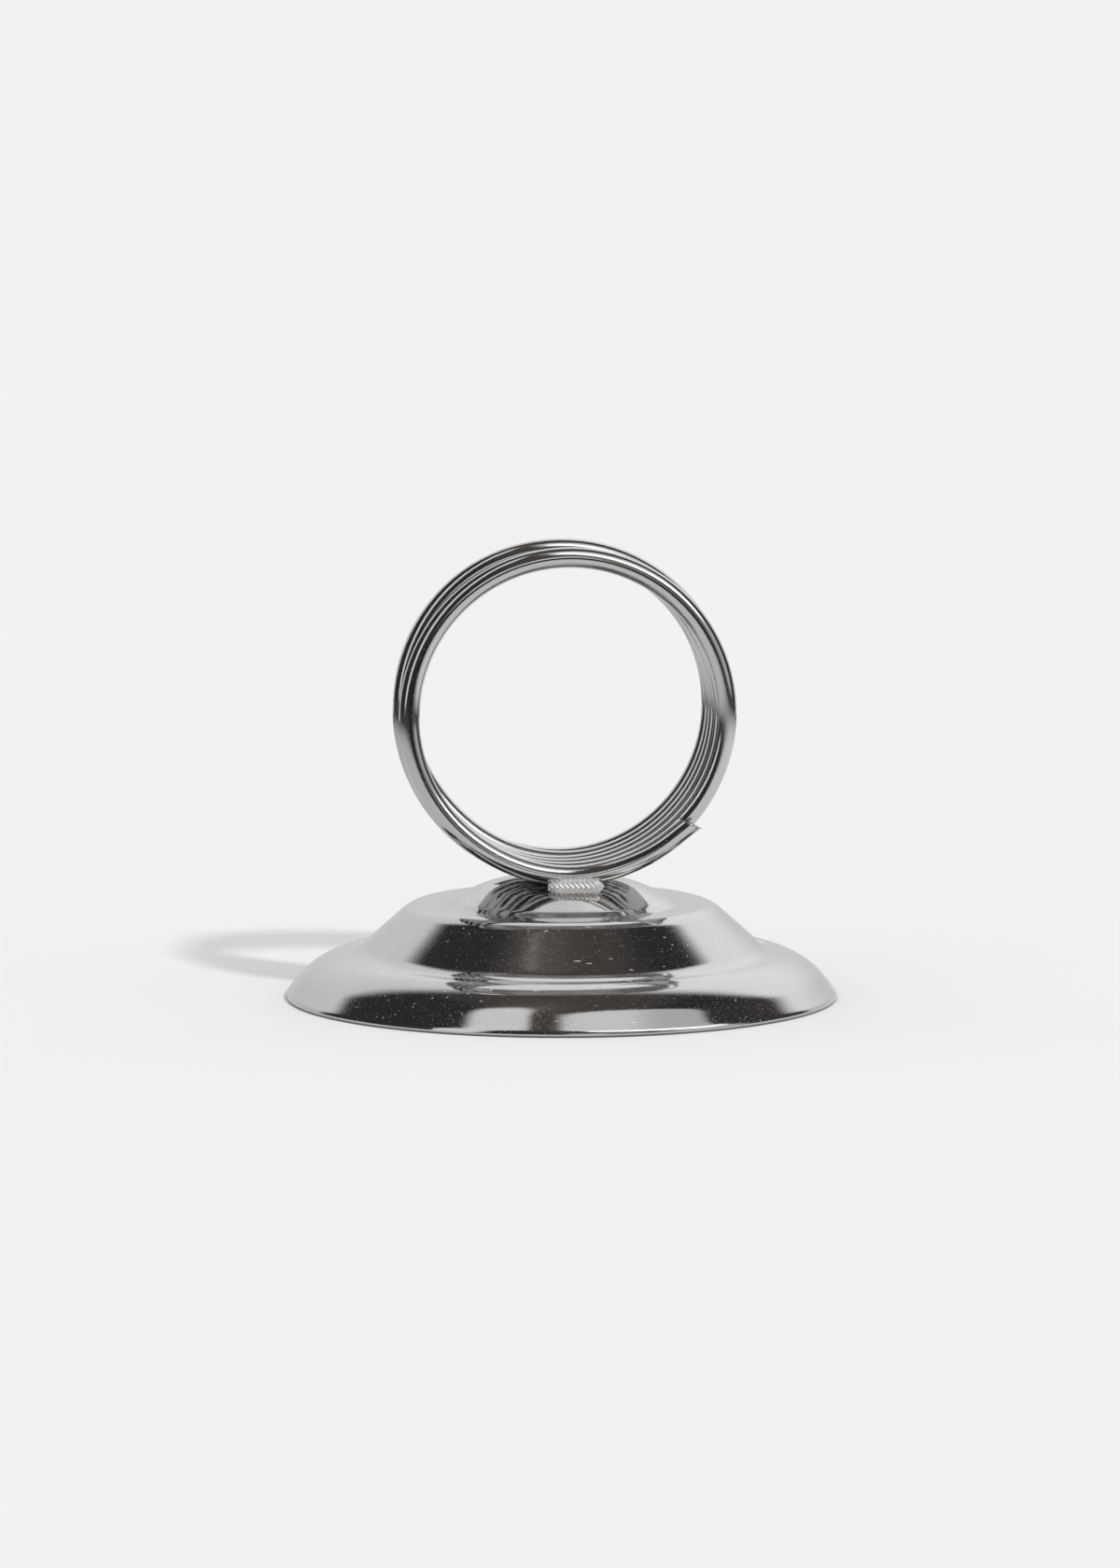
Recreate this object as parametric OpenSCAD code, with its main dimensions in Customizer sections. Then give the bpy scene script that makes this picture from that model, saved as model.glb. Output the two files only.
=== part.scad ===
// Menu holder: a close-wound ring of spring wire that stands on a pressed, stepped round foot.
// A card is pushed between two turns of the wire and stands upright.
// The origin is the centre of the rim's resting plane, +Z is up, and the coil's axis lies along Y.
// The coil's first, cut end faces -Y at the lower right.

/* [Foot] */
// Outer diameter of the foot's rim
rim_dia = 64; // [60:0.5:68]
// Thickness of the sheet that the foot is pressed from
sheet_t = 0.6; // [0.4:0.05:0.9]
// Height of the upright lip at the rim's edge
rim_lip_h = 0.6; // [0.4:0.05:1]
// Rounding between the rim's lip and the lower tier's flank
rim_lip_round = 1.1; // [1:0.05:1.3]
// Distance from the rim inwards to where the lower tier's crown and flank lines meet
tier_inset = 3.4; // [3:0.1:3.8]
// How far the crown's outer edge lies below the valley
crown_fall = 0.7; // [0.5:0.05:0.9]
// Rounding of the lower tier, from its crown down to the rim
tier_round = 7.6; // [6.6:0.1:8.2]
// Width of the crown, from the valley out to the crown's outer edge
crown_w = 4.75; // [4.5:0.05:5.2]
// Height of the valley between the two tiers
valley_h = 5.5; // [5.2:0.05:5.8]
// Rounding in the valley
valley_round = 3.6; // [2.4:0.1:4]
// Diameter of the upper tier's shoulder
shoulder_dia = 35.4; // [33.8:0.2:37]
// Height of the upper tier's shoulder
shoulder_h = 10.95; // [10.6:0.05:11.4]
// Rounding of the shoulder
shoulder_round = 2.8; // [2:0.1:3.4]
// How far the narrow ledge round the boss rises from the shoulder inwards
ledge_rise = 0.1; // [0.05:0.05:0.3]
// Rounding between the ledge and the step
ledge_round = 0.4; // [0.3:0.05:0.5]
// Width of the small step between the ledge and the boss's slope
step_w = 0.55; // [0.45:0.05:0.7]
// Height of the small step
step_h = 0.45; // [0.35:0.05:0.6]
// Rounding between the step and the slope
skirt_round = 0.8; // [0.7:0.05:1]
// Diameter of the boss at the lower edge of its gentle slope, where its step begins
skirt_dia = 25.8; // [23.8:0.1:28]
// Height of the gentle slope, from its lower edge to the boss's flat top
slope_h = 2.4; // [2:0.05:3]
// Diameter of the boss at its top
boss_dia = 15; // [14.6:0.1:17]
// Rounding of the boss's top edge
boss_round = 1.2; // [1:0.1:1.4]

/* [Coil] */
// Diameter of the wire
wire_dia = 2.4; // [2:0.05:2.6]
// Diameter of the coil, measured at the wire's centre line
coil_dia = 36.8; // [34:0.2:40]
// Free gap between neighbouring turns, which holds the card
turn_gap = 0.45; // [0.42:0.01:0.7]
// Number of turns between the straight ends
turns = 5.15; // [5.12:0.01:5.3]
// Angle of the front end, counted from +X towards +Z
start_angle = -50; // [-60:1:-40]

/* [Weld] */
// Length of each weld bead along X
bead_l = 6.6; // [5:0.1:8]
// Diameter of each weld bead at its middle
bead_dia = 2.3; // [2.1:0.1:2.6]
// Diameter of each weld bead at its ends
bead_end_dia = 1.9; // [1.5:0.1:2.1]
// Distance between the ripples of a weld bead
ripple_step = 0.9; // [0.7:0.05:1.2]
// Height of a bead's centre line above the boss's top
bead_rise = 0.35; // [0.2:0.05:0.6]
// Distance from the face of the end turn outwards to the bead's centre line
bead_out = 0.3; // [0.2:0.05:0.5]
// Sideways place of the front bead
front_bead_x = 0.7; // [-1:0.1:1.5]

/* [Detail] */
// Steps in each rounded corner of the foot's outline
corner_steps = 8; // [5:1:12]
// Rings in one turn of the coil
rings_per_turn = 48; // [36:2:56]
// Sides of the wire
wire_sides = 10; // [8:2:12]

/* [Hidden] */

rim_r = rim_dia / 2;
// The lower tier is laid out inwards from the rim, and each height is laid on the one below it
crown_r = rim_r - tier_inset;
valley_r = crown_r - crown_w;
crown_h = valley_h - crown_fall;
skirt_r = skirt_dia / 2;
ledge_r = skirt_r + step_w;
ledge_h = shoulder_h + ledge_rise;
skirt_h = ledge_h + step_h;
boss_h = skirt_h + slope_h;
wire_r = wire_dia / 2;
coil_r = coil_dia / 2;
pitch = wire_dia + turn_gap;
coil_z = boss_h + wire_r + coil_r;
// A straight end is one wire diameter long
end_run = wire_dia;
helix_lean = atan(pitch / (2 * PI * coil_r));
// The lowest point of a turn lies this share of a turn behind the front end
to_bottom = (start_angle + 90) / 360;

// Outline of the foot, from the axis to the resting plane: radius, height and rounding of each corner
foot_corners = [
    [0, boss_h, 0],
    [boss_dia / 2, boss_h, boss_round],
    [skirt_r, skirt_h, skirt_round],
    [ledge_r, ledge_h, ledge_round],
    [shoulder_dia / 2, shoulder_h, shoulder_round],
    [valley_r, valley_h, valley_round],
    [crown_r, crown_h, tier_round],
    [rim_r, rim_lip_h, rim_lip_round],
    [rim_r, 0, 0]
];

function unit(v) = v / norm(v);
function flat(c) = [c[0], c[1]];
// Turns an angle into the range from -180 to 180
function turned(a) = a - 360 * floor((a + 180) / 360);

// Rounded corner at p between its neighbours a and b: a list of [point, outward normal]
function corner(a, p, b, r) =
    let (
        u = unit(a - p),
        v = unit(b - p),
        half = acos(u * v) / 2,
        centre = p + unit(u + v) * r / sin(half),
        from = p + u * r / tan(half) - centre,
        to = p + v * r / tan(half) - centre,
        start = atan2(from[1], from[0]),
        sweep = turned(atan2(to[1], to[0]) - start),
        side = sweep < 0 ? 1 : -1
    )
    [for (i = [0:corner_steps])
        let (
            angle = start + sweep * i / corner_steps,
            ray = [cos(angle), sin(angle)]
        )
        [centre + r * ray, side * ray]];

foot_outline = concat(
    [[flat(foot_corners[0]), [0, 1]]],
    [for (i = [1:len(foot_corners) - 2])
        each corner(flat(foot_corners[i - 1]), flat(foot_corners[i]), flat(foot_corners[i + 1]), foot_corners[i][2])],
    [[flat(foot_corners[len(foot_corners) - 1]), [1, 0]]]
);
outer_skin = [for (s = foot_outline) s[0]];
inner_skin = [for (s = foot_outline) s[0] - sheet_t * s[1]];

// Centre line of the coil at a number of turns from the front end of its curved part
function turn_angle(t) = start_angle - 360 * t;
function turn_ray(t) = [cos(turn_angle(t)), 0, sin(turn_angle(t))];
function turn_y(t) = pitch * (t - turns / 2);
function coil_point(t) = coil_r * turn_ray(t) + [0, turn_y(t), coil_z];
function coil_tangent(t) =
    unit([sin(turn_angle(t)) * coil_r * 2 * PI, pitch, -cos(turn_angle(t)) * coil_r * 2 * PI]);

// Rings stand at even steps from the lowest points, so that each turn touches the boss
ring_step = 1 / rings_per_turn;
first_step = ceil(0.3 - to_bottom / ring_step);
last_step = floor((turns - to_bottom) / ring_step - 0.3);
ring_turns = concat([0], [for (k = [first_step:last_step]) to_bottom + k * ring_step], [turns]);

// Each ring of the wire: centre, outward ray and tangent, with a straight run added at both ends
coil_rings = concat(
    [[coil_point(0) - end_run * coil_tangent(0), turn_ray(0), coil_tangent(0)]],
    [for (t = ring_turns) [coil_point(t), turn_ray(t), coil_tangent(t)]],
    [[coil_point(turns) + end_run * coil_tangent(turns), turn_ray(turns), coil_tangent(turns)]]
);
coil_centres = [for (ring = coil_rings) ring[0]];

// Distance from point p to the stretch between a and b
function to_stretch(p, a, b) =
    let (share = max(0, min(1, (p - a) * (b - a) / ((b - a) * (b - a)))))
    norm(p - a - share * (b - a));

// Least gap between the wire and its next turn, measured on the centre line's points
function least_gap() =
    min([for (i = [0:len(coil_centres) - 2])
        for (j = [i + rings_per_turn - 4:min(i + rings_per_turn + 4, len(coil_centres) - 2)])
            to_stretch(coil_centres[i], coil_centres[j], coil_centres[j + 1])]) - wire_dia;

echo(least_gap_between_turns_mm = least_gap());
echo(wire_length_mm = turns * norm([2 * PI * coil_r, pitch]) + 2 * end_run);
echo(boss_height_mm = boss_h);
echo(overall_height_mm = coil_z + coil_r + wire_r);

// The wire as one unbroken tube with flat cut ends
module wire() {
    rings = len(coil_rings);
    points = [for (ring = coil_rings)
        let (across = cross(ring[2], ring[1]))
        for (k = [0:wire_sides - 1])
            ring[0] + wire_r * (cos(360 * k / wire_sides) * ring[1] + sin(360 * k / wire_sides) * across)];
    sides = [for (i = [0:rings - 2])
        for (k = [0:wire_sides - 1])
            let (
                a = i * wire_sides + k,
                b = i * wire_sides + (k + 1) % wire_sides,
                c = a + wire_sides,
                d = b + wire_sides
            )
            each [[a, b, d], [a, d, c]]];
    last = (rings - 1) * wire_sides;
    caps = [for (k = [1:wire_sides - 2])
        each [[0, k + 1, k], [last, last + k, last + k + 1]]];
    polyhedron(points = points, faces = concat(sides, caps), convexity = 12);
}

// The boss with its inside filled, which the weld metal is cut back from
module filled_boss() {
    last = 2 * (corner_steps + 1);
    below = outer_skin[last][1] - 2 * sheet_t;
    rotate_extrude($fn = 120)
        polygon(concat([[0, below], [outer_skin[last][0], below]], [for (i = [last:-1:0]) outer_skin[i]]));
}

// The lowest stretch of a turn as part of a plain ring, with the lean of the coil
module bottom_of_turn(y) {
    translate([0, y, coil_z])
        rotate([0, 0, -helix_lean])
            rotate([90, 0, 0])
                rotate_extrude($fn = 96)
                    translate([coil_r, 0])
                        circle(r = wire_r, $fn = 32);
}

// Weld metal in the corner between the boss's edge and an end turn, laid as a row of ripples
module weld_metal(x, y, side) {
    ripples = round((bead_l - bead_end_dia) / ripple_step) + 1;
    difference() {
        for (i = [0:ripples - 1]) {
            share = 2 * i / (ripples - 1) - 1;
            dia = bead_dia - (bead_dia - bead_end_dia) * share * share;
            place = [share * (bead_l - bead_end_dia) / 2, side * (wire_r + bead_out), boss_h + bead_rise];
            translate([x, y, 0] + place)
                rotate([0, 90, 0])
                    sphere(d = dia, $fn = 32);
        }
        bottom_of_turn(y);
        filled_boss();
    }
}

// Foot: sheet pressed into a boss, an upper tier and a lower tier, open underneath
module foot() {
    color("gainsboro")
        rotate_extrude($fn = 120)
            polygon(concat(outer_skin, [for (i = [len(inner_skin) - 1:-1:0]) inner_skin[i]]));
}

// Coil of spring wire that grips the card between its turns
module wire_coil() {
    color("silver")
        wire();
}

// Bead that joins the first turn to the front of the boss
module front_weld() {
    color("darkgray")
        weld_metal(front_bead_x, turn_y(to_bottom), -1);
}

// Bead that joins the last turn to the back of the boss
module rear_weld() {
    color("darkgray")
        weld_metal(0, turn_y(to_bottom + floor(turns - to_bottom)), 1);
}

foot();
wire_coil();
front_weld();
rear_weld();
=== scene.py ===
import math

import bmesh
import bpy
from mathutils import Matrix, Vector, noise


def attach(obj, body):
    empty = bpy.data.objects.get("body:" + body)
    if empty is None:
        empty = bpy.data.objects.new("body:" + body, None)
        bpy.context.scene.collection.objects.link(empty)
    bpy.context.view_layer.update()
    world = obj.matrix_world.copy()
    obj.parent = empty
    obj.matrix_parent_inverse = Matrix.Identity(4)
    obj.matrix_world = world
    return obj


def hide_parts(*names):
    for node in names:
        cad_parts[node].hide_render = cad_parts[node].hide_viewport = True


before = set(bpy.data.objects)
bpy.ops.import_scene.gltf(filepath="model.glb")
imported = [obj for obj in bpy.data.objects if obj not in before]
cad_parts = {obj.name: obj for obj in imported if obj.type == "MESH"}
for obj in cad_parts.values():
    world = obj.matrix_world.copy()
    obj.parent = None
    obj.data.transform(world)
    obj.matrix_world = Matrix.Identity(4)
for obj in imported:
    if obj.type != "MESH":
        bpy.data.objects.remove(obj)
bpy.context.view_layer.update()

MM = 0.001

# Real sizes of the menu holder, in millimetres, degrees and turns of the coil
SHEET_THICKNESS = 0.6
# Corners of the foot's outline from the axis to the resting plane: radius, height, rounding
FOOT_CORNERS = (
    (0.0, 13.9, 0.0),
    (7.5, 13.9, 11.0),
    (12.7, 11.59, 4.0),
    (13.6, 11.05, 0.35),
    (17.0, 11.0, 0.8),
    (17.92, 10.753, 3.4),
    (23.85, 5.5, 3.6),
    (28.6, 4.8, 7.6),
    (32.0, 0.6, 0.7),
    (32.0, 0.0, 0.0),
)
# How high the painted shade reaches up the rim from the table, and how round the sheet's cut edge is rubbed
RIM_SHADE_HEIGHT = 0.22
RUBBED_EDGE = 0.14
WIRE_DIAMETER = 2.4
COIL_DIAMETER = 36.8
COIL_PITCH = 2.85
COIL_TURNS = 5.15
FRONT_END_ANGLE = -50.0
BOSS_HEIGHT = 13.9
COIL_HEIGHT = BOSS_HEIGHT + WIRE_DIAMETER / 2 + COIL_DIAMETER / 2
# How far the hand-wound wire stands out from an even coil: turns from the front end, millimetres
WIRE_SLACK = (
    (0.0, 0.12),
    (0.06, 0.0),
    (0.11, 0.0),
    (0.2, -0.22),
    (0.3, -0.08),
    (0.38, 0.0),
    (0.61, 0.0),
    (0.8, 0.16),
    (0.94, 0.16),
    (1.05, 0.0),
    (1.24, 0.0),
    (1.36, 0.42),
    (1.5, 1.0),
    (1.62, 0.68),
    (1.74, 0.3),
    (1.88, 0.0),
    (3.2, 0.0),
    (3.36, -0.15),
    (3.5, 0.0),
    (4.05, 0.0),
    (4.15, -0.35),
    (4.25, -0.78),
    (4.38, -0.42),
    (4.5, -0.27),
    (4.7, -0.14),
    (5.03, 0.0),
    (5.15, -0.25),
)
# Either end of the wire, beyond the coil: a straight run, then a torn lip that stands out, and the sheared
# face inside it. Each section has its distance, its width as a share of the wire's, and how deep it is torn
SHEARED_END = (
    (2.1, 1.0, 0.0),
    (2.7, 1.0, 0.0),
    (2.78, 1.09, 0.1),
    (2.86, 1.03, 0.16),
    (2.74, 0.8, 0.04),
)
# How steeply the sheared face slants, as a rise over its width, and the size of the torn grain in it
SHEAR_SLANT = 0.5
TORN_GRAIN = 0.3
# How far the front end leans out of the coil, as a rise over its length
FRONT_END_LEAN = 0.03
# A bead of weld metal: its size, how far its middle lies above the boss and out from the wire's side, where
# the front one sits, and how blunt its ends are
BEAD_LENGTH = 6.6
BEAD_DEPTH = 1.9
BEAD_HEIGHT = 2.2
BEAD_RISE = 0.05
BEAD_OUT = -0.1
FRONT_BEAD_X = 0.7
BEAD_BLUNTNESS = 3.3
# The bead's ripples. The real ones lie 0.33 mm apart; they are drawn coarser so that they show
RIPPLE_PITCH = 0.6
RIPPLE_DEPTH = 0.06
RIPPLE_SLANT = 0.9

# How finely things are meshed; the step and the merging distance are in millimetres
CORNER_SEGMENTS = 14
OUTLINE_STEP = 0.45
MERGING_DISTANCE = 0.002
FOOT_SEGMENTS = 240
RUBBED_SEGMENTS = 3
WIRE_SIDES = 36
SECTIONS_PER_TURN = 96
BEAD_SIDES = 64
BEAD_SECTIONS = 180
PAPER_SEGMENTS = 128

# Grain and marks of use in the plate, in millimetres, drawn as coarse as they need to show
GRAIN_SIZE = 0.2
DUST_SPACING = 0.4
# The largest speck's radius, as a share of the spacing
DUST_REACH = 0.11
SCRATCH_SPACING = (9.0, 0.9, 0.9)
SCRATCH_TURNS = ((0.3, 0.5, 0.2), (1.3, -0.4, 1.1), (-0.7, 0.9, 2.2))
DUST_COLOUR = "#f2efea"
# The darker colour painted as shade on the rim's lowest band
RIM_SHADE_COLOUR = "#7c7875"

# The photograph's camera, found by fitting the foot's and the coil's outlines
PHOTO_SIZE = (1200, 1680)
VIEW_DISTANCE = 1163.0
VIEW_ELEVATION = 7.28
VIEW_AZIMUTH = -6.49
VIEW_TARGET = (-0.206, 24.9)
PIXELS_PER_MM = 9.237
SENSOR_WIDTH = 36
# The nearest and the farthest that it sees, in metres
CLIP_NEAR, CLIP_FAR = 0.05, 60

# The studio's paper and the light from all round, and in metres how far the table reaches that the chrome
# mirrors, and the sweep of paper beyond it
PAPER = "#f2f2f2"
AMBIENT_LIGHT = 0.75
TABLE_RADIUS = 0.27
SWEEP_RADIUS = 12.0
# Painted shade on the table's paper where the chrome mirrors it, outwards and from left to right: two places
# in metres, and how pale the paper is at each
PAINTED_SHADE_OUTWARDS = (0.11, TABLE_RADIUS, 1.0, 0.25)
PAINTED_SHADE_SIDEWAYS = (-0.1, 0.1, 0.76, 1.06)
# The key lamp's strength, its width in degrees as the holder sees it, and the way to it
LAMP_STRENGTH = 1.17
LAMP_WIDTH = 4.5
LAMP_WAY = (0.545, -0.97, 1.0)

# A Mix node's sockets for colours: the two that it mixes, and the result
UNDER, OVER, MIXED = 6, 7, 2


def linear(hex_code):
    """Turns an sRGB hex colour into linear red, green, blue and alpha."""
    values = [int(hex_code[i : i + 2], 16) / 255 for i in (1, 3, 5)]
    return [v / 12.92 if v <= 0.04045 else ((v + 0.055) / 1.055) ** 2.4 for v in values] + [1.0]


def add_node(tree, kind, settings=None, links=None):
    """Adds one node, with values for its settings or inputs and links into its inputs.

    A link comes from a socket, or from the first output of a node.
    """
    node = tree.nodes.new(kind)
    for name, value in (settings or {}).items():
        if isinstance(name, int) or name in node.inputs:
            node.inputs[name].default_value = value
        else:
            setattr(node, name, value)
    for name, source in (links or {}).items():
        socket = source.outputs[0] if isinstance(source, bpy.types.Node) else source
        tree.links.new(socket, node.inputs[name])
    return node


def change(low, high, start=0.0, end=1.0, softly=True):
    """Settings that take a value from start to end while another goes from low to high."""
    return {"interpolation_type": "SMOOTHSTEP" if softly else "LINEAR", 1: low, 2: high, 3: start, 4: end}


def together(tree, operation, values):
    """Several values as one: MULTIPLY keeps what lies in all of them, MAXIMUM what lies in any."""
    result, *others = values
    for other in others:
        result = add_node(tree, "ShaderNodeMath", {"operation": operation}, {0: result, 1: other})
    return result


# Camera


def photo_camera():
    """The photograph's viewpoint: a long lens, a little above and left of the middle."""
    azimuth, elevation = math.radians(VIEW_AZIMUTH), math.radians(VIEW_ELEVATION)
    right = Vector((math.cos(azimuth), math.sin(azimuth), 0))
    front = Vector((math.sin(azimuth), -math.cos(azimuth), 0))
    to_camera = front * math.cos(elevation) + Vector((0, 0, math.sin(elevation)))
    target = right * VIEW_TARGET[0] * MM + Vector((0, 0, VIEW_TARGET[1] * MM))
    data = bpy.data.cameras.new("photo_camera")
    data.sensor_width = SENSOR_WIDTH
    data.lens = SENSOR_WIDTH * PIXELS_PER_MM * VIEW_DISTANCE / max(PHOTO_SIZE)
    data.clip_start, data.clip_end = CLIP_NEAR, CLIP_FAR
    camera = bpy.data.objects.new("photo_camera", data)
    camera.location = target + to_camera * VIEW_DISTANCE * MM
    camera.rotation_mode = "QUATERNION"
    camera.rotation_quaternion = to_camera.to_track_quat("Z", "Y")
    bpy.context.scene.collection.objects.link(camera)
    bpy.context.scene.camera = camera


# Studio

# The ways in which the chrome looks out into the room, each worked out from right, back and up and the ones
# before it. Azimuth is 0 degrees to the front and grows to the right. Across and deep are places on a flat
# ceiling one unit above the holder, to the right and to the back, and leftward is across on the left alone
ROOM_WAYS = (
    ("front", "MULTIPLY", "back", -1.0),
    ("turn", "ARCTAN2", "right", "front"),
    ("azimuth", "DEGREES", "turn"),
    ("tilt", "ARCSINE", "up"),
    ("elevation", "DEGREES", "tilt"),
    ("rise", "MAXIMUM", "up", 0.03),
    ("across", "DIVIDE", "right", "rise"),
    ("deep", "DIVIDE", "back", "rise"),
    ("leftward", "MINIMUM", "across", 0.0),
    ("across_squared", "MULTIPLY", "across", "across"),
    ("both_squared", "MULTIPLY_ADD", "deep", "deep", "across_squared"),
    ("from_middle", "SQRT", "both_squared"),
)
# Edges in the room: on which side of it the thing lies, the way that crosses it, where, and half of its
# softness. A slanting edge also has a second way, and how much of that is added to the first
KEY_LIGHT = (
    ("either", ("above", "across", -0.31, 0.04, "deep", 0.65), ("above", "azimuth", 7, 3)),
    ("below", "deep", -0.33, 0.05, "across", -0.75),
    ("below", "deep", -0.215, 0.05, "across", -0.15),
    ("below", "across", 0.64, 0.09, "deep", 2.0),
    ("above", "elevation", 46, 4, "azimuth", 0.48),
    ("above", "elevation", 2, 3, "azimuth", -0.3),
)
PAPER_ROLL = (
    ("above", "right", 0, 0.12, "back", 1.26),
    ("below", "right", 0, 0.2, "back", -1.6),
    ("above", "deep", 0.6, 0.2, "leftward", 0.42),
)
ROOM_SHADE = 0.035
PAPER_SHADE = linear(PAPER)[0]
# How warm the dark parts of the room are, and the pale ones, and the brightness that parts them
DARK_WARMTH = 0.09
PALE_WARMTH = 0.006
PALE_FROM = 0.3
# What the chrome sees in the dark room apart from the table, each painted over the ones before it: how
# bright it is, and the edges that it lies inside of
ROOM = (
    # A faint glow on the ceiling
    (0.08, ("above", "across", -0.3, 0.15), ("below", "across", 0.4, 0.15), ("below", "deep", 0.9, 0.3)),
    # The right-hand side of the room: a haze far round, and two pale walls with a dark gap
    (0.06, ("above", "azimuth", 60, 20), ("below", "elevation", 45, 12)),
    (0.27, ("above", "azimuth", 10, 4), ("below", "azimuth", 46, 4), ("below", "elevation", 40, 4)),
    (0.58, ("above", "azimuth", 44, 3), ("below", "azimuth", 76, 4), ("below", "elevation", 24, 6)),
    (0.05, ("above", "azimuth", 28, 2), ("below", "azimuth", 35, 2), ("above", "elevation", 4, 5)),
    # The floor of the room
    (0.07, ("below", "elevation", -3, 1.5)),
    # Pale things beside the camera, and the dark under them
    (
        1.1,
        ("above", "azimuth", -4, 2),
        ("below", "azimuth", 12, 2),
        ("above", "elevation", 4, 2),
        ("below", "elevation", 14, 2),
    ),
    (0.02, ("above", "azimuth", -12, 4), ("below", "azimuth", 28, 4), ("below", "elevation", 3, 2)),
    # A haze beyond the soft box's tip
    (0.14, ("below", "from_middle", 0.2, 0.2), ("below", "across", 0, 0.16)),
    # A long soft box on the left, which narrows and fades towards the ceiling
    (
        0.98,
        (
            "either",
            ("below", "deep", 0.32, 0.06, "across", -0.96),
            ("below", "deep", 0.116, 0.05, "across", -0.55),
        ),
        ("either", ("below", "azimuth", -41, 3), ("above", "deep", -0.4, 0.04)),
        ("below", "across", -0.07, 0.03, "deep", -0.43),
        ("below", "across", 0.44, 0.1, "deep", -1.02),
        ("below", "across", -0.15, 0.05),
        ("below", "deep", -0.02, 0.07),
        ("above", "elevation", -1, 2),
    ),
    # The key light on the right: pale at its top left, grey at its top right, and white below
    (0.95, *KEY_LIGHT),
    (0.68, *KEY_LIGHT, ("above", "across", 0.4, 0.12)),
    (2.3, *KEY_LIGHT, ("below", "deep", -0.6, 0.2)),
    (1.6, *KEY_LIGHT, ("above", "azimuth", 74, 6), ("above", "across", 0.95, 0.15)),
    # The paper roll behind the holder: paler to the right, and in shade low down
    (PAPER_SHADE, *PAPER_ROLL),
    (PAPER_SHADE * 1.3, *PAPER_ROLL, ("above", "right", 0, 0.4)),
    (PAPER_SHADE * 0.8, *PAPER_ROLL, ("below", "elevation", 16, 14)),
)


def inside_edges(tree, ways, edges):
    """1 where the chrome looks inside all the edges and 0 outside, with a soft change between."""
    masks = []
    for side, *edge in edges:
        if side == "either":
            masks.append(together(tree, "MAXIMUM", [inside_edges(tree, ways, (one,)) for one in edge]))
            continue
        way, place, softness, *slant = edge
        value = ways[way]
        if slant:
            links = {0: ways[slant[0]], 2: value}
            value = add_node(tree, "ShaderNodeMath", {"operation": "MULTIPLY_ADD", 1: slant[1]}, links)
        start = 1.0 if side == "below" else 0.0
        soft_edge = change(place - softness, place + softness, start, 1 - start)
        masks.append(add_node(tree, "ShaderNodeMapRange", soft_edge, {0: value}))
    return together(tree, "MULTIPLY", masks)


def studio_world():
    """A plain pale studio, and for the chrome a dark room with soft lights and a pale paper roll."""
    world = bpy.data.worlds.new("studio")
    bpy.context.scene.world = world
    world.use_nodes = True
    tree = world.node_tree
    tree.nodes.clear()
    outwards = add_node(tree, "ShaderNodeTexCoord").outputs["Generated"]
    parts = add_node(tree, "ShaderNodeSeparateXYZ", links={0: outwards}).outputs
    ways = dict(zip(("right", "back", "up"), parts))
    for name, operation, *inputs in ROOM_WAYS:
        values = {i: value for i, value in enumerate(inputs) if not isinstance(value, str)}
        links = {i: ways[value] for i, value in enumerate(inputs) if isinstance(value, str)}
        ways[name] = add_node(tree, "ShaderNodeMath", {"operation": operation, **values}, links)

    room = None
    for brightness, *edges in ROOM:
        # A warm grey has a little less green than red, and less blue still
        warmth = DARK_WARMTH if brightness < PALE_FROM else PALE_WARMTH
        grey = (brightness, brightness * (1 - warmth), brightness * (1 - warmth * 1.6), 1.0)
        settings = {"data_type": "RGBA", UNDER: (ROOM_SHADE, ROOM_SHADE, ROOM_SHADE, 1.0), OVER: grey}
        links = {0: inside_edges(tree, ways, edges)}
        if room:
            links[UNDER] = room
        room = add_node(tree, "ShaderNodeMix", settings, links).outputs[MIXED]

    rays = add_node(tree, "ShaderNodeLightPath").outputs
    seen = add_node(tree, "ShaderNodeBackground", {"Color": linear(PAPER), "Strength": 1.0})
    white = (1.0, 1.0, 1.0, 1.0)
    ambient = add_node(tree, "ShaderNodeBackground", {"Color": white, "Strength": AMBIENT_LIGHT})
    mirrored = add_node(tree, "ShaderNodeBackground", {"Strength": 1.0}, {"Color": room})
    direct = add_node(tree, "ShaderNodeMixShader", links={0: rays["Is Camera Ray"], 1: ambient, 2: seen})
    bounced = together(tree, "MAXIMUM", (rays["Is Glossy Ray"], rays["Is Transmission Ray"]))
    light = add_node(tree, "ShaderNodeMixShader", links={0: bounced, 1: direct, 2: mirrored})
    add_node(tree, "ShaderNodeOutputWorld", links={"Surface": light})


def key_lamp():
    """One soft lamp from the right and above the camera, which throws the ring's shadow."""
    data = bpy.data.lights.new("key_lamp", "SUN")
    data.energy = LAMP_STRENGTH
    data.angle = math.radians(LAMP_WIDTH)
    lamp = bpy.data.objects.new("key_lamp", data)
    lamp.rotation_mode = "QUATERNION"
    lamp.rotation_quaternion = Vector(LAMP_WAY).to_track_quat("Z", "Y")
    lamp.visible_glossy = False
    bpy.context.scene.collection.objects.link(lamp)


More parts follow.
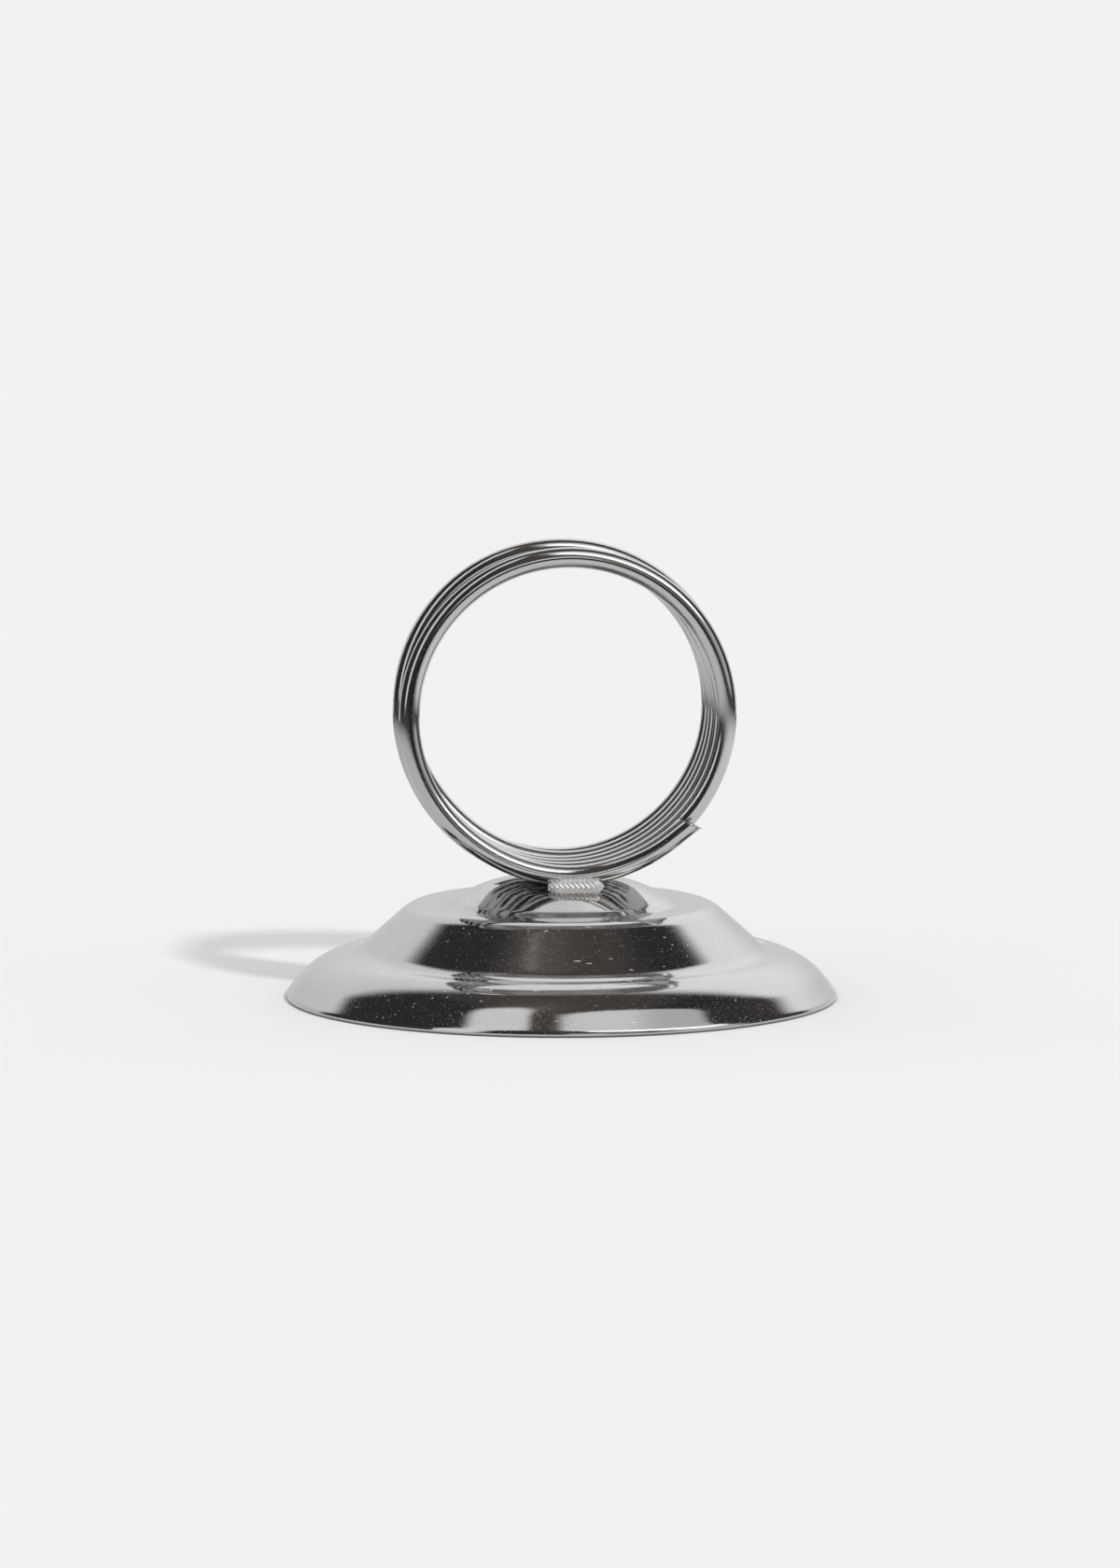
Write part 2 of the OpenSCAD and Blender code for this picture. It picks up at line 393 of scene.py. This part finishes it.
def matte_paper():
    """Backdrop paper, uncoated and matt: an even pale ground that takes a soft shadow, and painted shade in
    reflections.
    """
    material = bpy.data.materials.new("matte_backdrop_paper")
    material.use_nodes = True
    tree = material.node_tree
    tree.nodes.clear()
    # Painted shade: where the chrome mirrors the paper, it is painted darker to the left and towards its far
    # edge
    place = add_node(tree, "ShaderNodeTexCoord").outputs["Object"]
    x = add_node(tree, "ShaderNodeSeparateXYZ", links={0: place})
    distance = add_node(tree, "ShaderNodeVectorMath", {"operation": "LENGTH"}, {0: place}).outputs["Value"]
    outwards = add_node(tree, "ShaderNodeMapRange", change(*PAINTED_SHADE_OUTWARDS), {0: distance})
    sideways = add_node(tree, "ShaderNodeMapRange", change(*PAINTED_SHADE_SIDEWAYS, softly=False), {0: x})
    shade = together(tree, "MULTIPLY", (outwards, sideways))
    mirrored = add_node(tree, "ShaderNodeLightPath").outputs["Is Glossy Ray"]
    brightness = add_node(tree, "ShaderNodeMix", {"A": 1.0}, {"Factor": mirrored, "B": shade})
    paper = {"operation": "SCALE", 0: linear(PAPER)[:3]}
    colour = add_node(tree, "ShaderNodeVectorMath", paper, {"Scale": brightness})
    matt = {"Roughness": 0.9, "Specular IOR Level": 0.0}
    surface = add_node(tree, "ShaderNodeBsdfPrincipled", matt, {"Base Color": colour})
    add_node(tree, "ShaderNodeOutputMaterial", links={"Surface": surface})
    return material


def paper_floor():
    """The table's paper round the holder, and the rest of the sweep, which the chrome doesn't mirror."""
    paper = matte_paper()
    sheets = (("table_paper", 0.0, TABLE_RADIUS), ("paper_sweep", TABLE_RADIUS, SWEEP_RADIUS))
    for name, inner, outer in sheets:
        bm = bmesh.new()
        bmesh.ops.create_circle(bm, cap_ends=inner == 0, segments=PAPER_SEGMENTS, radius=outer)
        if inner:
            rim = bmesh.ops.extrude_edge_only(bm, edges=bm.edges[:])["geom"]
            verts = [v for v in rim if isinstance(v, bmesh.types.BMVert)]
            bmesh.ops.scale(bm, verts=verts, vec=(inner / outer, inner / outer, 1))
            bmesh.ops.recalc_face_normals(bm, faces=bm.faces[:])
        if next(iter(bm.faces)).normal.z < 0:
            bmesh.ops.reverse_faces(bm, faces=bm.faces[:])
        mesh = bpy.data.meshes.new(name)
        bm.to_mesh(mesh)
        bm.free()
        mesh.materials.append(paper)
        floor = bpy.data.objects.new(name, mesh)
        bpy.context.scene.collection.objects.link(floor)
        floor.visible_glossy = inner == 0


# Finishes


def bright_chrome(name, tint, roughness, relief, relief_mm, wear, frosting=0.0):
    """Chromium plate over polished steel, in use for years: a mirror with fine grain, dust and scratches.

    Weld metal has its plate frosted by the grain below, so it also scatters light.
    """
    material = bpy.data.materials.new(name)
    material.use_nodes = True
    tree = material.node_tree
    tree.nodes.clear()
    place = add_node(tree, "ShaderNodeTexCoord").outputs["Object"]

    # Grain of the plate: pinpoints that spread the light a little
    settings = {"Scale": 1 / (GRAIN_SIZE * MM), "Detail": 1.0, "Roughness": 0.5}
    grain = add_node(tree, "ShaderNodeTexNoise", settings, {"Vector": place})
    spread = add_node(
        tree, "ShaderNodeMapRange", change(0.56, 0.74, roughness, roughness + 0.2 * wear), {0: grain}
    )
    marks = [add_node(tree, "ShaderNodeMapRange", change(0.6, 0.8, 0.0, 0.3 * wear), {0: grain})]
    # Dust: at most one round speck in a cube of the spacing, and more of them with wear
    dust = add_node(tree, "ShaderNodeTexVoronoi", {"Scale": 1 / (DUST_SPACING * MM)}, {"Vector": place})
    chance = add_node(tree, "ShaderNodeSeparateColor", links={0: dust.outputs["Color"]})
    reach = add_node(tree, "ShaderNodeMapRange", change(1 - 0.7 * wear, 1.0, -0.02, DUST_REACH), {0: chance})
    inside = add_node(tree, "ShaderNodeMath", {"operation": "SUBTRACT"}, {0: reach, 1: dust})
    marks.append(add_node(tree, "ShaderNodeMapRange", change(-0.01, 0.03, 0.0, 0.75), {0: inside}))
    # Scratches: hairs of about 1 mm, in three directions
    for turn in SCRATCH_TURNS:
        settings = {"Rotation": turn, "Scale": [1 / (spacing * MM) for spacing in SCRATCH_SPACING]}
        laid = add_node(tree, "ShaderNodeMapping", settings, {"Vector": place})
        hair = add_node(tree, "ShaderNodeTexVoronoi", {"Scale": 1.0}, {"Vector": laid})
        width = change(0.04 * wear, 0.07 * wear, 1.0, 0.0)
        marks.append(add_node(tree, "ShaderNodeMapRange", width, {0: hair}))
    marked = together(tree, "MAXIMUM", marks)
    # Painted shade along the rim's lowest band, where it stands on the table
    height = add_node(tree, "ShaderNodeSeparateXYZ", links={0: place}).outputs[2]
    settings = change((RIM_SHADE_HEIGHT - 0.04) * MM, (RIM_SHADE_HEIGHT + 0.04) * MM, 1.0, 0.0)
    rim_shade = add_node(tree, "ShaderNodeMapRange", settings, {0: height})

    # Marks and the painted-shade band on the rim are rougher than the plate, and marks aren't bare metal
    marks_rough = add_node(tree, "ShaderNodeMapRange", change(0.0, 1.0, 0.0, 0.55), {0: marked})
    rim_shade_rough = add_node(tree, "ShaderNodeMapRange", change(0.0, 1.0, 0.0, 0.4), {0: rim_shade})
    rough = together(tree, "MAXIMUM", (spread, marks_rough, rim_shade_rough))
    metal = add_node(tree, "ShaderNodeMapRange", change(0.0, 1.0, 1.0 - frosting, 0.15), {0: marked})
    dusty = {"data_type": "RGBA", UNDER: linear(tint), OVER: linear(DUST_COLOUR)}
    colour = add_node(tree, "ShaderNodeMix", dusty, {0: marked}).outputs[MIXED]
    # The rim's lowest band is painted darker, as shade
    rim_shade_mix = {"data_type": "RGBA", OVER: linear(RIM_SHADE_COLOUR)}
    colour = add_node(tree, "ShaderNodeMix", rim_shade_mix, {0: rim_shade, UNDER: colour}).outputs[MIXED]
    bump = add_node(
        tree, "ShaderNodeBump", {"Strength": 1.0, "Distance": relief_mm * MM}, {"Height": relief(tree)}
    )
    surface = add_node(
        tree,
        "ShaderNodeBsdfPrincipled",
        links={"Base Color": colour, "Metallic": metal, "Roughness": rough, "Normal": bump},
    )
    add_node(tree, "ShaderNodeOutputMaterial", links={"Surface": surface})
    return material


def polished_relief(tree):
    """Waviness that polishing leaves in pressed sheet, about 2.5 mm from crest to crest."""
    place = add_node(tree, "ShaderNodeTexCoord").outputs["Object"]
    settings = {"Scale": 1 / (2.5 * MM), "Detail": 1.0, "Roughness": 0.4}
    return add_node(tree, "ShaderNodeTexNoise", settings, {"Vector": place})


def drawn_relief(tree):
    """Lines that the drawing die leaves along the wire, 0.2 mm apart and several millimetres long."""
    place = add_node(tree, "ShaderNodeAttribute", {"attribute_name": "wire_place"}).outputs["Vector"]
    spacing = {"Scale": (1 / (0.2 * MM), 1 / (0.2 * MM), 1 / (5 * MM))}
    laid = add_node(tree, "ShaderNodeMapping", spacing, {"Vector": place})
    settings = {"Scale": 1.0, "Detail": 2.0, "Roughness": 0.6}
    return add_node(tree, "ShaderNodeTexNoise", settings, {"Vector": laid})


def melted_relief(tree):
    """Grain that melting leaves on weld metal, 0.2 mm from crest to crest."""
    place = add_node(tree, "ShaderNodeTexCoord").outputs["Object"]
    settings = {"Scale": 1 / (0.2 * MM), "Detail": 1.0, "Roughness": 0.5}
    return add_node(tree, "ShaderNodeTexNoise", settings, {"Vector": place})


# Pieces


def finish_piece(name, bm, material, node):
    """Makes the mesh a smooth piece that stands for its CAD node."""
    mesh = bpy.data.meshes.new(name)
    bm.to_mesh(mesh)
    bm.free()
    mesh.materials.append(material)
    mesh.shade_smooth()
    piece = bpy.data.objects.new(name, mesh)
    bpy.context.scene.collection.objects.link(piece)
    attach(piece, "root")
    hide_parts(node)


def foot_shell():
    """The pressed sheet: its outline with rounded corners, spun round and given its thickness."""
    bm = bmesh.new()
    corners = [bm.verts.new((r * MM, 0, z * MM)) for r, z, _ in FOOT_CORNERS]
    for pair in zip(corners, corners[1:]):
        bm.edges.new(pair)
    places = [corner.co.copy() for corner in corners]
    for i in range(1, len(corners) - 1):
        before = (places[i - 1] - places[i]).normalized()
        after = (places[i + 1] - places[i]).normalized()
        half = before.angle(after) / 2
        bmesh.ops.bevel(
            bm,
            geom=[corners[i]],
            offset=FOOT_CORNERS[i][2] * MM / math.tan(half),
            offset_type="OFFSET",
            segments=CORNER_SEGMENTS,
            profile=0.5,
            affect="VERTICES",
            material=-1,
        )
    for edge in list(bm.edges):
        cuts = int(edge.calc_length() / (OUTLINE_STEP * MM))
        if cuts:
            bmesh.ops.subdivide_edges(bm, edges=[edge], cuts=cuts)
    bmesh.ops.spin(
        bm,
        geom=bm.verts[:] + bm.edges[:],
        cent=(0, 0, 0),
        axis=(0, 0, 1),
        angle=2 * math.pi,
        steps=FOOT_SEGMENTS,
        use_merge=True,
    )
    bmesh.ops.remove_doubles(bm, verts=bm.verts[:], dist=MERGING_DISTANCE * MM)
    bmesh.ops.recalc_face_normals(bm, faces=bm.faces[:])
    top = max(bm.faces, key=lambda face: face.calc_center_median().z)
    if top.normal.z < 0:
        bmesh.ops.reverse_faces(bm, faces=bm.faces[:])
    bmesh.ops.solidify(bm, geom=bm.faces[:], thickness=SHEET_THICKNESS * MM)
    cut_edges = [edge for edge in bm.edges if edge.calc_face_angle(0) > math.radians(60)]
    bmesh.ops.bevel(
        bm,
        geom=cut_edges,
        offset=RUBBED_EDGE * MM,
        offset_type="OFFSET",
        segments=RUBBED_SEGMENTS,
        profile=0.5,
        affect="EDGES",
        material=-1,
    )
    return bm


def slack(turns):
    """How far the wire stands out from an even coil, in metres, on a smooth curve through WIRE_SLACK."""
    last = len(WIRE_SLACK) - 1
    i = max(1, next((k for k, row in enumerate(WIRE_SLACK) if row[0] >= turns), last))
    slopes = []
    for k in (i - 1, i):
        before, after = WIRE_SLACK[max(k - 1, 0)], WIRE_SLACK[min(k + 1, last)]
        slopes.append((after[1] - before[1]) / (after[0] - before[0]))
    (t0, v0), (t1, v1) = WIRE_SLACK[i - 1], WIRE_SLACK[i]
    length = t1 - t0
    share = min(1.0, max(0.0, (turns - t0) / length))
    curve = (2 * share**3 - 3 * share**2 + 1) * v0 + (3 * share**2 - 2 * share**3) * v1
    lean = (share**3 - 2 * share**2 + share) * slopes[0] + (share**3 - share**2) * slopes[1]
    return (curve + lean * length) * MM


def shear_end(bm, place, edges, way, out, along):
    """Carries the wire on from its last section, straight and then to its slanting sheared end."""
    middle = sum((v.co for e in edges for v in e.verts), Vector()) / (2 * len(edges))
    straight_run = SHEARED_END[0][0]
    for run, width, torn in SHEARED_END:
        added = bmesh.ops.extrude_edge_only(bm, edges=edges)["geom"]
        verts = [v for v in added if isinstance(v, bmesh.types.BMVert)]
        edges = [e for e in added if isinstance(e, bmesh.types.BMEdge)]
        here = sum((v.co for v in verts), Vector()) / len(verts)
        for vert in verts:
            rough = noise.noise(vert.co / (TORN_GRAIN * MM)) * torn * MM
            spoke = (vert.co - here) - way * (vert.co - here).dot(way)
            spoke *= width * WIRE_DIAMETER / 2 * MM / spoke.length
            slant = spoke.dot(out) * (SHEAR_SLANT if run > straight_run else 0.0)
            vert.co = middle + way * (run * MM + slant + rough) + spoke * (1 + rough / MM)
            vert[place].z = along + math.copysign(run * MM, along - MM)
    bmesh.ops.contextual_create(bm, geom=verts)


def coil_wire():
    """The spring wire: a round section spun along the coil, a little out of true, with sheared ends."""
    bm = bmesh.new()
    radius = COIL_DIAMETER / 2 * MM
    centre = Vector((0, -COIL_TURNS * COIL_PITCH / 2 * MM, COIL_HEIGHT * MM))
    lean = math.atan2(COIL_PITCH, math.pi * COIL_DIAMETER)
    angle = math.radians(FRONT_END_ANGLE)
    bmesh.ops.create_circle(bm, segments=WIRE_SIDES, radius=WIRE_DIAMETER / 2 * MM)
    # The section faces along the wire at the coil's front end
    bmesh.ops.rotate(bm, verts=bm.verts, matrix=Matrix.Rotation(lean, 3, "X"))
    bmesh.ops.translate(bm, verts=bm.verts, vec=(radius, 0, 0))
    bmesh.ops.rotate(bm, verts=bm.verts, matrix=Matrix.Rotation(-angle, 3, "Y"))
    bmesh.ops.translate(bm, verts=bm.verts, vec=centre)
    first = list(bm.edges)
    steps = round(COIL_TURNS * SECTIONS_PER_TURN)
    spun = bmesh.ops.spin(
        bm,
        geom=bm.verts[:] + bm.edges[:],
        cent=(0, 0, COIL_HEIGHT * MM),
        axis=(0, 1, 0),
        dvec=(0, COIL_TURNS * COIL_PITCH * MM / steps, 0),
        angle=2 * math.pi * COIL_TURNS,
        steps=steps,
    )
    last = [e for e in spun["geom_last"] if isinstance(e, bmesh.types.BMEdge)]
    # Each point's place in the wire, across it and along it, kept for the finish
    place = bm.verts.layers.float_vector.new("wire_place")
    for vert in bm.verts:
        out = Vector((vert.co.x, 0, vert.co.z - COIL_HEIGHT * MM))
        share = (FRONT_END_ANGLE - math.degrees(math.atan2(out.z, out.x))) / 360
        turns = share + round(vert.co.y / (COIL_PITCH * MM) + COIL_TURNS / 2 - share)
        off_axis = vert.co.y - COIL_PITCH * (turns - COIL_TURNS / 2) * MM
        vert[place] = (out.length - radius, off_axis, turns * math.pi * COIL_DIAMETER * MM)
        vert.co += out.normalized() * slack(turns)
    tangent = Vector((math.sin(angle), COIL_PITCH / (math.pi * COIL_DIAMETER), -math.cos(angle))).normalized()
    outward = Vector((math.cos(angle), 0, math.sin(angle)))
    end_turn = Matrix.Rotation(2 * math.pi * (COIL_TURNS % 1), 3, "Y")
    length = math.pi * COIL_DIAMETER * COIL_TURNS * MM
    shear_end(bm, place, first, (outward * FRONT_END_LEAN - tangent).normalized(), outward, 0.0)
    shear_end(bm, place, last, end_turn @ tangent, end_turn @ outward, length)
    bmesh.ops.recalc_face_normals(bm, faces=bm.faces[:])
    for edge in bm.edges:
        edge.smooth = edge.calc_face_angle(0) < math.radians(40)
    return bm


def weld_bead(x, turn, side):
    """A bead of weld metal that fills the corner between the boss and an end turn, with blunt ends."""
    bm = bmesh.new()
    bmesh.ops.create_uvsphere(bm, u_segments=BEAD_SIDES, v_segments=BEAD_SECTIONS, radius=1.0)
    bmesh.ops.rotate(bm, verts=bm.verts, matrix=Matrix.Rotation(math.pi / 2, 3, "Y"))
    for vert in bm.verts:
        spread = math.hypot(vert.co.y, vert.co.z)
        if spread > 0.001:
            wide = math.sqrt(max(0.0, 1 - abs(vert.co.x) ** BEAD_BLUNTNESS)) / spread
            vert.co.y *= wide
            vert.co.z *= wide
    half_size = [size / 2 * MM for size in (BEAD_LENGTH, BEAD_DEPTH, BEAD_HEIGHT)]
    bmesh.ops.scale(bm, verts=bm.verts, vec=half_size)
    bm.normal_update()
    for vert in bm.verts:
        # Ripples that slant away from the bead's middle line
        phase = 2 * math.pi * (vert.co.x + RIPPLE_SLANT * abs(vert.co.z)) / (RIPPLE_PITCH * MM)
        vert.co += vert.normal * math.sin(phase) * RIPPLE_DEPTH * MM
    y = COIL_PITCH * (turn - COIL_TURNS / 2) + side * (WIRE_DIAMETER / 2 + BEAD_OUT)
    bmesh.ops.translate(bm, verts=bm.verts, vec=(x * MM, y * MM, (BOSS_HEIGHT + BEAD_RISE) * MM))
    return bm


bpy.context.scene.view_settings.view_transform = "Standard"
photo_camera()
studio_world()
key_lamp()
paper_floor()

plate = bright_chrome(
    "chrome_plated_pressed_steel", "#c5c4c3", 0.07, relief=polished_relief, relief_mm=0.002, wear=0.9
)
wire = bright_chrome(
    "chrome_plated_spring_wire", "#c5c4c3", 0.09, relief=drawn_relief, relief_mm=0.0012, wear=0.45
)
weld = bright_chrome(
    "chrome_plated_weld_metal", "#e3e1df", 0.16, relief=melted_relief, relief_mm=0.02, wear=0.3, frosting=0.35
)
# The coil first touches the boss this many turns from its front end, and last five turns on
to_bottom = (FRONT_END_ANGLE + 90) / 360
finish_piece("foot_shell", foot_shell(), plate, "foot")
finish_piece("coil_wire", coil_wire(), wire, "wire_coil")
finish_piece("front_bead", weld_bead(FRONT_BEAD_X, to_bottom, -1), weld, "front_weld")
finish_piece("rear_bead", weld_bead(0, to_bottom + 5, 1), weld, "rear_weld")
